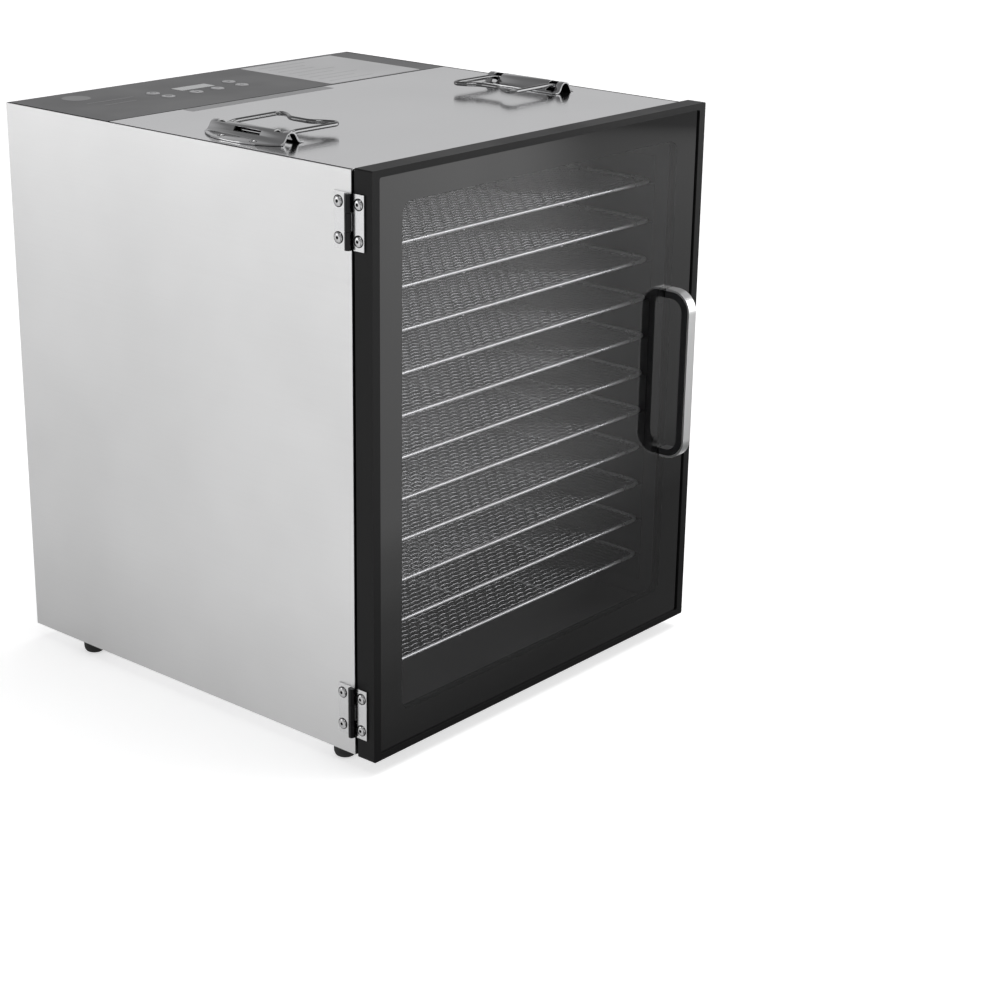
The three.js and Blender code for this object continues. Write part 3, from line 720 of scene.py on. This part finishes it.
def plate(name, loops, plane, low, high, bevel):
    """A flat plate with holes and softened edges, between low and high along its plane's axis."""
    curve = bpy.data.curves.new(name, "CURVE")
    curve.dimensions = "2D"
    curve.fill_mode = "BOTH"
    for loop in loops:
        spline = curve.splines.new("POLY")
        spline.points.add(len(loop) - 1)
        for point, (u, v) in zip(spline.points, loop):
            point.co = (u * MM, v * MM, 0, 1)
        spline.use_cyclic_u = True
    curve.extrude = ((high - low) / 2 - bevel) * MM
    curve.bevel_depth = bevel * MM
    curve.bevel_resolution = 2
    curve.offset = -bevel * MM
    made = baked(link(name, curve))
    middle = (low + high) / 2
    shift = at(0, middle, 0) if plane == "y" else at(0, 0, middle)
    made.data.transform(Matrix.Translation(shift) @ PLANES[plane].to_4x4())
    weld = made.modifiers.new("weld", "WELD")
    weld.merge_threshold = WELD_REACH
    smooth(made.data, WIRE_EDGE)
    made.modifiers.new("flat_faces", "WEIGHTED_NORMAL").keep_sharp = True
    return baked(made)


def turned(name, profile, centre, axis="z", sides=48):
    """A profile of (radius, height) points turned about an axis through centre."""
    verts, faces = [], []
    spin = PLANES[axis]
    for r, h in profile:
        for k in range(sides):
            a = TAU * k / sides
            verts.append(at(*(Vector(centre) + spin @ Vector((r * math.cos(a), r * math.sin(a), h)))))
    last = len(profile) - 1
    for i in range(last):
        for k in range(sides):
            n = (k + 1) % sides
            faces.append((i * sides + k, i * sides + n, (i + 1) * sides + n, (i + 1) * sides + k))
    faces.append(tuple(reversed(range(sides))))
    faces.append(tuple(last * sides + k for k in range(sides)))
    mesh = bpy.data.meshes.new(name)
    mesh.from_pydata(verts, [], faces)
    clean = bmesh.new()
    clean.from_mesh(mesh)
    bmesh.ops.remove_doubles(clean, verts=clean.verts, dist=1e-6)
    bmesh.ops.recalc_face_normals(clean, faces=clean.faces)
    clean.to_mesh(mesh)
    clean.free()
    smooth(mesh, SOLID_EDGE)
    return link(name, mesh)


def finish_node(node, material, edge=0.0, segments=2):
    """A better material, and edges softened by so many millimetres, on a node that keeps its shape."""
    made = frame["nodes"][node]
    made.data.materials.clear()
    made.data.materials.append(M[material])
    weld = made.modifiers.new("weld", "WELD")
    weld.merge_threshold = WELD_REACH
    if edge:
        bevel = made.modifiers.new("edges", "BEVEL")
        bevel.width = edge * MM
        bevel.segments = segments
        bevel.limit_method = "ANGLE"
        bevel.angle_limit = math.radians(SOLID_EDGE)
        bevel.harden_normals = True


PRINT = 0.12  # how far printed film stands above what it lies on
BAR = 0.06  # and a printed bar above its film


def film(name, loop, plane, low, material, thick=PRINT, bevel=0.04):
    """A thin shape on the cabinet, from low along its plane's axis."""
    as_piece(plate(name, [loop], plane, low, low + thick, bevel), material, "cabinet")


def bars(name, x, ends, rows, half, corner, plane, low):
    """Plain bars in place of lines of print, from x to each of the ends, one on each row."""
    for i, (end, row) in enumerate(zip(ends, rows)):
        loop = outline(x, end, row - half, row + half, corner, 3)
        film(f"{name}_bar_{i}", loop, plane, low + PRINT, "label_print", thick=BAR, bevel=0.02)


# ---------- cabinet ----------

def add_cabinet():
    for side in ("left", "right"):
        finish_node("side_panel_" + side, "side_steel", 0.35)
        finish_node("liner_" + side, "liner")
        finish_node("tray_rack_" + side, "rack_steel")
    finish_node("top_panel", "top_steel", 0.3)
    finish_node("base_plate", "rear_steel", 0.3)
    finish_node("rear_panel", "rear_steel")
    finish_node("front_frame", "black_frame", 0.3)
    finish_node("liner_ceiling", "liner")
    finish_node("liner_floor", "liner")
    finish_node("fan_baffle", "liner")
    finish_node("door_magnet", "black_plastic", 0.5)
    finish_node("fan_motor", "motor", 0.5)
    finish_node("fan_blade", "fan_aluminium")
    finish_node("temperature_probe", "heater_sheath")
    finish_node("control_board", "circuit_board")
    finish_node("power_inlet", "black_plastic", 0.6)


def add_feet():
    """Rubber knobs, rounded at the bottom round a hollow for their screw."""
    r = 10
    knob = [(r, 5.8), (9.8, 3.9), (9.2, 2.2), (8.4, 0.9), (7.4, 0.2), (6.6, 0)]
    hollow = [(4.2, 0), (3.8, 0.4), (3.6, 4), (0, 4)]
    for node in [n for n in frame["nodes"] if n.startswith("foot_")]:
        low, high = box_mm(node)
        x, y = (low.x + high.x) / 2, (low.y + high.y) / 2
        height = high.z - low.z
        profile = [(0, height), (r - 0.4, height), (r, height - 0.4), *knob, *hollow]
        foot = turned(node + "_moulded", profile, (x, y, low.z))
        as_piece(foot, "rubber", body_of(node), node)


# ---------- trays ----------

MESH_PITCH = 6.6
MESH_WIRE = 0.5  # radius of the woven wires
RIM_WIRE = 1.7  # and of the rim rod
BRACE_WIRE = 1.1  # and of the stiffening rods
RIM_BEND = 14
BRACE_DROP = 1.9  # how far the stiffening rods lie under the rim's middle


def woven(width, depth, wire):
    """Verts and faces of square crimped wires crossing over and under one another, about zero."""
    verts, faces = [], []
    across, along = int(width / MESH_PITCH), int(depth / MESH_PITCH)

    def strand(points, side):
        first = len(verts)
        for p in points:
            for k in range(4):
                a = TAU * (k + 0.5) / 4
                verts.append(p + side * (wire * math.cos(a)) + Vector((0, 0, wire * math.sin(a))))
        for i in range(len(points) - 1):
            for k in range(4):
                a, b = first + i * 4, first + (i + 1) * 4
                n = (k + 1) % 4
                faces.append((a + k, b + k, b + n, a + n))
        last = first + (len(points) - 1) * 4
        faces.append(tuple(first + k for k in range(4)))
        faces.append(tuple(last + k for k in reversed(range(4))))

    def place(i, j, lift):
        x = (i - (across - 1) / 2) * MESH_PITCH
        y = (j - (along - 1) / 2) * MESH_PITCH
        return Vector((x, y, lift * wire * 1.05))

    for j in range(along):
        points = [place(i, j, 1 if (i + j) % 2 else -1) for i in range(across)]
        ends = [Vector((-width / 2, points[0].y, 0)), *points, Vector((width / 2, points[0].y, 0))]
        strand(ends, Vector((0, -1, 0)))
    for i in range(across):
        points = [place(i, j, -1 if (i + j) % 2 else 1) for j in range(along)]
        ends = [Vector((points[0].x, -depth / 2, 0)), *points, Vector((points[0].x, depth / 2, 0))]
        strand(ends, Vector((1, 0, 0)))
    return verts, faces


def tray_mesh(low, high):
    """One tray about its own middle: a rim rod, woven wire and two stiffening rods under it."""
    width, depth = high.x - low.x, high.y - low.y
    w, d = width / 2 - RIM_WIRE, depth / 2 - RIM_WIRE
    origin = (CORNER / MM) * -1  # so that at() gives metres about zero
    corners = [(-w, -d, 0), (w, -d, 0), (w, d, 0), (-w, d, 0)]
    path = rounded(corners, RIM_BEND, 6, closed=True)
    rim = tube("rim", [p + origin for p in path], RIM_WIRE, closed=True)
    braces = []
    for x in (-w / 3, w / 3):
        ends = [Vector((x, y, -BRACE_DROP)) + origin for y in (-d, d)]
        braces.append(tube("brace", ends, BRACE_WIRE, roundness=1))
    verts, faces = woven(2 * w - 1, 2 * d - 1, MESH_WIRE)
    mesh = bpy.data.meshes.new("weave")
    mesh.from_pydata([v * MM for v in verts], [], faces)
    weave = link("weave", mesh)
    rods = sum(len(part.data.polygons) for part in (rim, *braces))
    made = merged("tray_wire", [rim, *braces, weave], WEAVE_EDGE)
    data = made.data
    data.materials.append(M["tray_rod"])
    data.materials.append(M["tray_wire"])
    indices = [0 if i < rods else 1 for i in range(len(data.polygons))]
    data.polygons.foreach_set("material_index", indices)
    bpy.data.objects.remove(made)
    return data


def add_trays():
    shared = tray_mesh(*box_mm(TRAYS[0]))
    for node in TRAYS:
        low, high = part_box(node)
        tray = link(node + "_wire", shared)
        tray.location = (low + high) / 2
        bpy.context.view_layer.update()
        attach(tray, body_of(node))
        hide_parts(node)


# ---------- door ----------

def add_door():
    finish_node("door_frame", "black_frame", 0.8, 3)
    finish_node("door_inner_frame", "inner_frame", 0.6)
    finish_node("door_seal", "seal", 0.8)
    finish_node("door_glass", "smoked_glass")


def add_handle():
    """The bow handle, and a screw on a washer plate behind the glass at each of its ends."""
    finish_node("handle_grip", "black_plastic", 1.2, 3)
    finish_node("handle_trim", "trim_steel", 0.5)
    low, high = box_mm("handle_grip")
    x = (low.x + high.x) / 2
    body = body_of("handle_grip")
    inside = -13.2  # the window plate's inner face
    face = inside + 1.4  # the washer plate's
    mesh = screw_mesh(1.5)
    for end, z in (("top", high.z - 6), ("bottom", low.z + 6)):
        loop = outline(x - 6, x + 16, z - 8, z + 8, 4)
        washer = plate("handle_washer_" + end, [loop], "y", inside, face, 0.3)
        as_piece(washer, "black_plastic", body)
        stamped("handle_screw_" + end, mesh, (x, face, z), (0, 1, 0), "hinge_pin", body, 0.5)


# ---------- hinges ----------

def rivet_meshes(r, dome):
    """A blind rivet's domed head, and a dark core of painted shade that shows in its middle and as a thin
    ring round its seat.
    """
    hole = r * 0.3
    profile = [(0, dome * 0.45), (hole, dome * 0.45), (hole, dome * 0.98)]
    for k in range(1, 8):
        a = (math.pi / 2) * k / 7
        profile.append((hole + (r - hole) * math.sin(a), dome * math.cos(a)))
    profile.append((0, 0))
    head = turned("rivet_head", profile, (0, 0, 0), "z", 32)
    shaft = hole * 0.96
    seat, seat_r = 0.22, r + 0.45
    steps = [(0, dome * 0.5), (shaft, dome * 0.5), (shaft, seat), (seat_r, seat), (seat_r, 0), (0, 0)]
    core = turned("rivet_core", steps, (0, 0, 0), "z", 32)
    return about_zero(head), about_zero(core)


def rivet(name, meshes, centre, normal, body):
    """A rivet's two pieces from the shared meshes."""
    head, core = meshes
    stamped(name, head, centre, normal, "rivet_steel", body)
    stamped(name + "_core", core, centre, normal, "painted_shade", body)


RIVET_Y = {"cabinet": 12.6, "door": -9.0}
RIVET_INSET = 8  # from a leaf's ends


def add_hinges():
    """Steel leaves with two rivets each, and their pins."""
    meshes = rivet_meshes(4.5, 1.7)
    leaf_face = -WIDTH / 2 - 1.5
    for place in ("upper", "lower"):
        for part, y in RIVET_Y.items():
            node = f"hinge_leaf_{part}_{place}"
            finish_node(node, "hinge_leaf", 0.25)
            low, high = box_mm(node)
            body = body_of(node)
            for end, z in (("top", high.z - RIVET_INSET), ("bottom", low.z + RIVET_INSET)):
                rivet(f"rivet_{part}_{place}_{end}", meshes, (leaf_face, y, z), (-1, 0, 0), body)
        finish_node("hinge_pin_" + place, "hinge_pin")


# ---------- bail handles ----------

LEG = 35  # from a bail's middle to each leg
HOOD_SHEET = 1.2
HOOD_CREST = 9.8
FLANGE_OUT, FLANGE_IN = 27, 14  # how far a cover reaches from the bail's axis, each way


def arch_loop(side, axis_x, base_z):
    """The pressed cover's section: a rounded hood with a flange on each side."""
    crest, sheet = HOOD_CREST, HOOD_SHEET
    outside = [
        (FLANGE_OUT, 0), (FLANGE_OUT, sheet), (9.2, sheet), (4.2, crest), (-4.2, crest), (-9.2, sheet),
        (-FLANGE_IN, sheet),
    ]
    within = [(-FLANGE_IN, 0), (-8.0, 0), (-3.4, crest - sheet), (3.4, crest - sheet), (8.0, 0)]
    loop = [*rounded([(*p, 0) for p in outside], 4.2, 5), *rounded([(*p, 0) for p in within], 3.4, 5)]
    return [(side * (axis_x + p.x), base_z + p.y) for p in loop]


def shade_hood(mesh, side, axis_x, base_z):
    """Painted shade on the inside of a pressed cover, and a duller steel on its cut ends, darkened as
    painted shade to dim their glint.
    """
    mesh.materials.append(M["painted_shade"])
    mesh.materials.append(M["cut_steel"])
    for face in mesh.polygons:
        place = (face.center - CORNER) / MM
        across, up = side * place.x - axis_x, place.z - base_z + 3  # from a line just under the arch
        outward = face.normal.x * side * across + face.normal.z * up
        # cut ends and their bevels take the darker steel, and faces turned into the arch take painted shade
        cut_edge = abs(face.normal.y) > 0.35
        if cut_edge:
            face.material_index = 2
        elif outward < 0:
            face.material_index = 1


def bail_bracket(name, side):
    """The arched cover: a curved outer flange, a sight hole and a slot for each leg of the wire."""
    low, high = box_mm("bail_bracket_" + name)
    axis_x = (-high.x if side < 0 else low.x) + FLANGE_IN
    middle = (low.y + high.y) / 2
    half = (high.y - low.y) / 2
    hood = prism("bail_hood_" + name, arch_loop(side, axis_x, low.z), "y", low.y, high.y)

    def across(tag, a, b, y0, y1, z0, z1):
        x0, x1 = sorted((side * (axis_x + a), side * (axis_x + b)))
        return block(tag, x0, x1, y0, y1, z0, z1)

    steps = 12
    corner_cut = 15  # how far the flange's curved edge draws in at its ends
    rim = [(axis_x - FLANGE_IN, middle + half), (axis_x - FLANGE_IN, middle - half)]
    for k in range(2 * steps + 1):
        t = k / steps - 1
        rim.append((axis_x + FLANGE_OUT - corner_cut * abs(t) ** 2.5, middle + t * half))
    trim = prism("trim", [(side * x, y) for x, y in rim], "z", low.z - 1, high.z + 5)
    hood = carved(hood, [trim], operation="INTERSECT")
    tools = [across("sight", 3.6, 9.4, middle - 15.5, middle + 15.5, low.z + 4.2, low.z + 8.0)]
    for end in (-1, 1):
        y0, y1 = sorted((middle + end * (LEG - 6.5), middle + end * (LEG + 3.4)))
        tools.append(across("slot", -10, 3.5, y0, y1, low.z + 1.6, high.z + 5))
    hood = carved(hood, tools, 0.25)
    as_piece(hood, "press_steel", body_of("bail_bracket_" + name), "bail_bracket_" + name)
    shade_hood(hood.data, side, axis_x, low.z)
    meshes = rivet_meshes(2.6, 1.3)
    for i, y in enumerate((middle - half * 0.42, middle + half * 0.42)):
        spot = (side * (axis_x + 18), y, low.z + HOOD_SHEET)
        rivet(f"bail_rivet_{name}_{i}", meshes, spot, (0, 0, 1), "cabinet")


def bail_wire(name, side):
    """A closed wire loop: a pivot rod inside the hood, two legs and a grip with a waist."""
    node = "bail_" + name
    low, high = box_mm(node)
    radius = 2.0
    foot = 0.18  # the share of its length over which the loop rises to its grip's height
    pivot_x = (-low.x if side < 0 else high.x) - radius
    middle = (low.y + high.y) / 2
    half = (high.y - low.y) / 2 - radius
    reach = (high.x - low.x) - 2 * radius
    pivot_z, grip_z = low.z + radius, high.z - radius
    leg = LEG / half
    plan = [(0, 0), (0, leg), (foot, leg), (0.94, 1), (1, 0.88), (0.95, 0.62), (0.83, 0.34)]
    plan += [(u, -v) for u, v in reversed(plan[1:])]

    def height(u):
        return pivot_z + (grip_z - pivot_z) * min(1.0, u / foot)

    points = [(side * (pivot_x - u * reach), middle + v * half, height(u)) for u, v in plan]
    path = rounded(points, 5.5, 7, closed=True)
    made = tube(node + "_loop", path, radius, closed=True, roundness=4)
    as_piece(made, "bright_wire", body_of(node), node)


def add_bails():
    for name, side in (("left", -1), ("right", 1)):
        bail_bracket(name, side)
        bail_wire(name, side)


# ---------- rear ----------

def add_fan_guard():
    """Wire rings on a cross of spokes, standing on four lugs."""
    low, high = box_mm("rear_fan_guard")
    centre = (low + high) / 2
    wire = 1.2
    y = high.y - wire
    reach = (high.x - low.x) / 2 - 4
    parts = []
    for r in (11, 20, 29, 38, 47, 56):
        points = [(u, y, v) for u, v in circle(centre.x, centre.z, r, 64)]
        parts.append(tube("ring", points, wire, closed=True))
    for a in (0, math.pi / 2):
        dx, dz = reach * math.cos(a), reach * math.sin(a)
        ends = [(centre.x - dx, y - 0.9, centre.z - dz), (centre.x + dx, y - 0.9, centre.z + dz)]
        parts.append(tube("spoke", ends, wire))
    for k in range(4):
        a = TAU * k / 4
        spot = (centre.x + reach * math.cos(a), low.y, centre.z + reach * math.sin(a))
        profile = [(0, 0), (4, 0), (4, 2.6), (3.4, 3.2), (0, 3.3)]
        parts.append(turned("lug", [(r, -h) for r, h in profile], spot, "y", 28))
    guard = merged("rear_fan_guard_wires", parts, WIRE_EDGE)
    as_piece(guard, "bright_wire", body_of("rear_fan_guard"), "rear_fan_guard")


def screw_mesh(dome):
    """A pan-head screw with a cross recess, about zero."""
    r = 3.0
    profile = [(0, dome)]
    for k in range(1, 7):
        a = (math.pi / 2) * k / 6
        profile.append((r * math.sin(a), dome * (0.45 + 0.55 * math.cos(a))))
    profile += [(r, 0), (0, 0)]
    head = turned("screw", profile, (0, 0, 0), "z", 32)
    arm, width = r * 0.55, r * 0.13
    tools = [
        block("cross_a", -arm, arm, -width, width, dome * 0.45, dome * 2),
        block("cross_b", -width, width, -arm, arm, dome * 0.45, dome * 2),
    ]
    return about_zero(carved(head, tools))


def add_rear_screws():
    """Four screws down each side of the rear panel, and one on each side of the inlet."""
    mesh = screw_mesh(1.6)
    x = WIDTH / 2 - 9
    for side in (-1, 1):
        for i, z in enumerate((14, 170, 330, 486)):
            name = f"rear_screw_{'left' if side < 0 else 'right'}_{i}"
            stamped(name, mesh, (side * x, DEPTH, z), (0, 1, 0), "fitting_steel", "cabinet", 0.3 + i)
    low, high = box_mm("power_inlet")
    for i, x in enumerate((low.x + 5, high.x - 5)):
        spot = (x, DEPTH + 2.8, (low.z + high.z) / 2)
        stamped(f"inlet_screw_{i}", mesh, spot, (0, 1, 0), "fitting_steel", "cabinet", 0.8 * i)


def add_inlet_pins():
    """Three flat blades standing in the inlet's socket."""
    low, high = box_mm("power_inlet")
    x, z = (low.x + high.x) / 2, (low.z + high.z) / 2
    back = low.y + 4.1
    for name, dx, dz in (("left", -7, -1.5), ("right", 7, -1.5), ("earth", 0, 2.5)):
        loop = outline(x + dx - 1, x + dx + 1, z + dz - 2, z + dz + 2, 0.4, 3)
        pin = prism("inlet_pin_" + name, loop, "y", back, high.y - 4)
        smooth(pin.data, SOLID_EDGE)
        as_piece(pin, "brass", body_of("power_inlet"))


def add_rear_label():
    """A blank plate with plain bars."""
    x0, x1, z0, z1 = -150, -80, 30, 74
    film("rear_label", outline(x0, x1, z0, z1, 2, 4), "y", DEPTH, "label")
    rows = [z0 + 9 + 7 * i for i in range(5)]
    ends = [x0 + 36 + 26 * random.random() for _ in rows]
    bars("rear_label", x0 + 6, ends, rows, 1, 0.8, "y", DEPTH)


def add_rear():
    add_fan_guard()
    add_rear_screws()
    add_inlet_pins()
    add_rear_label()
    finish_node("heater_element", "heater_sheath")


# ---------- controls ----------

def add_label():
    """A blank rating label: plain bars where a real one has its print."""
    x0, x1, y0, y1 = 60, 185, 291, DEPTH - 7
    film("rating_label", outline(x0, x1, y0, y1, 2), "z", HEIGHT, "label")
    count = 8
    inset_x, inset_y = 12, 14
    rows = [y0 + inset_y + i * (y1 - y0 - 2 * inset_y) / (count - 1) for i in range(count)]
    longest = x1 - x0 - 2 * inset_x
    ends = [x0 + inset_x + (0.45 + 0.4 * random.random()) * longest for _ in rows]
    bars("label", x0 + inset_x, ends, rows, 1.2, 0.6, "z", HEIGHT)


def add_prints():
    """Plain shapes on the panel, and the light film strip in front of it."""
    film("panel_badge", circle(-160, 395, 13, 48), "z", HEIGHT, "panel_print")
    for i, (x0, x1, y) in enumerate(((-172, -118, 366), (-166, -128, 350))):
        film(f"panel_line_{i}", outline(x0, x1, y - 0.8, y + 0.8, 0.7, 3), "z", HEIGHT, "panel_print")
    film("front_strip", outline(-131, 45, 273, 286, 1), "z", HEIGHT, "strip_film")


def seam(name, x0, x1, y0, y1):
    """A dark film that stands a hair above the top panel: a painted shadow line."""
    loop = outline(x0, x1, y0, y1, 0.3, 2)
    film(name, loop, "z", HEIGHT - 0.02, "painted_shade", thick=0.08, bevel=0.02)


def add_seams():
    """Painted shadow lines along the gaps where the top panel meets the side panels, and before the control
    panel.
    """
    for name, side in (("left", -1), ("right", 1)):
        x0, x1 = sorted((side * (WIDTH / 2 - 2.8), side * (WIDTH / 2 - 0.6)))
        seam("top_seam_" + name, x0, x1, 0.5, DEPTH - 0.5)
    edge = WIDTH / 2 - 2.4
    seam("panel_seam", -edge, edge, 286.9, 288.2)


def icon_loops(node):
    """Generic marks in millimetres about a key's middle."""
    bar = [outline(-2.4, 2.4, -0.35, 0.35, 0.3, 3)]
    post = [outline(-0.35, 0.35, -2.4, 2.4, 0.3, 3)]
    ring = [[circle(0, 0, 2.9, 32), circle(0, 0, 2.3, 32)]]
    marks = {
        "key_power": [*ring, [outline(-0.3, 0.3, 0.6, 3.8, 0.25, 3)]],
        "key_time": [*ring, [outline(-0.25, 0.25, 0, 1.8, 0.2, 3)], [outline(0, 1.5, -0.25, 0.25, 0.2, 3)]],
        "key_temperature": [[circle(0, -1.7, 1.2, 20)], [outline(-0.45, 0.45, -1, 3.2, 0.4, 3)]],
        "key_minus": [bar],
        "key_plus": [bar, post],
        "key_start": [[[(-1.6, -2.2), (2.4, 0), (-1.6, 2.2)]]],
    }
    return marks[node]


def add_keys():
    for node in KEYS:
        finish_node(node, "key_plastic")
        low, high = box_mm(node)
        x, y = (low.x + high.x) / 2, (low.y + high.y) / 2
        for i, loops in enumerate(icon_loops(node)):
            moved = [[(x + u, y + v) for u, v in loop] for loop in loops]
            z = high.z + i * 0.01  # so that crossing marks don't share a face
            mark = plate(f"{node}_mark_{i}", moved, "z", z, z + BAR, 0.02)
            as_piece(mark, "key_print", body_of(node))


def add_controls():
    finish_node("control_panel", "panel_plastic", 0.2)
    finish_node("display_window", "display", 0.2)
    add_keys()
    add_label()
    add_prints()
    add_seams()


make_camera()
make_stage()
add_cabinet()
add_feet()
add_trays()
add_door()
add_handle()
add_hinges()
add_bails()
add_rear()
add_controls()
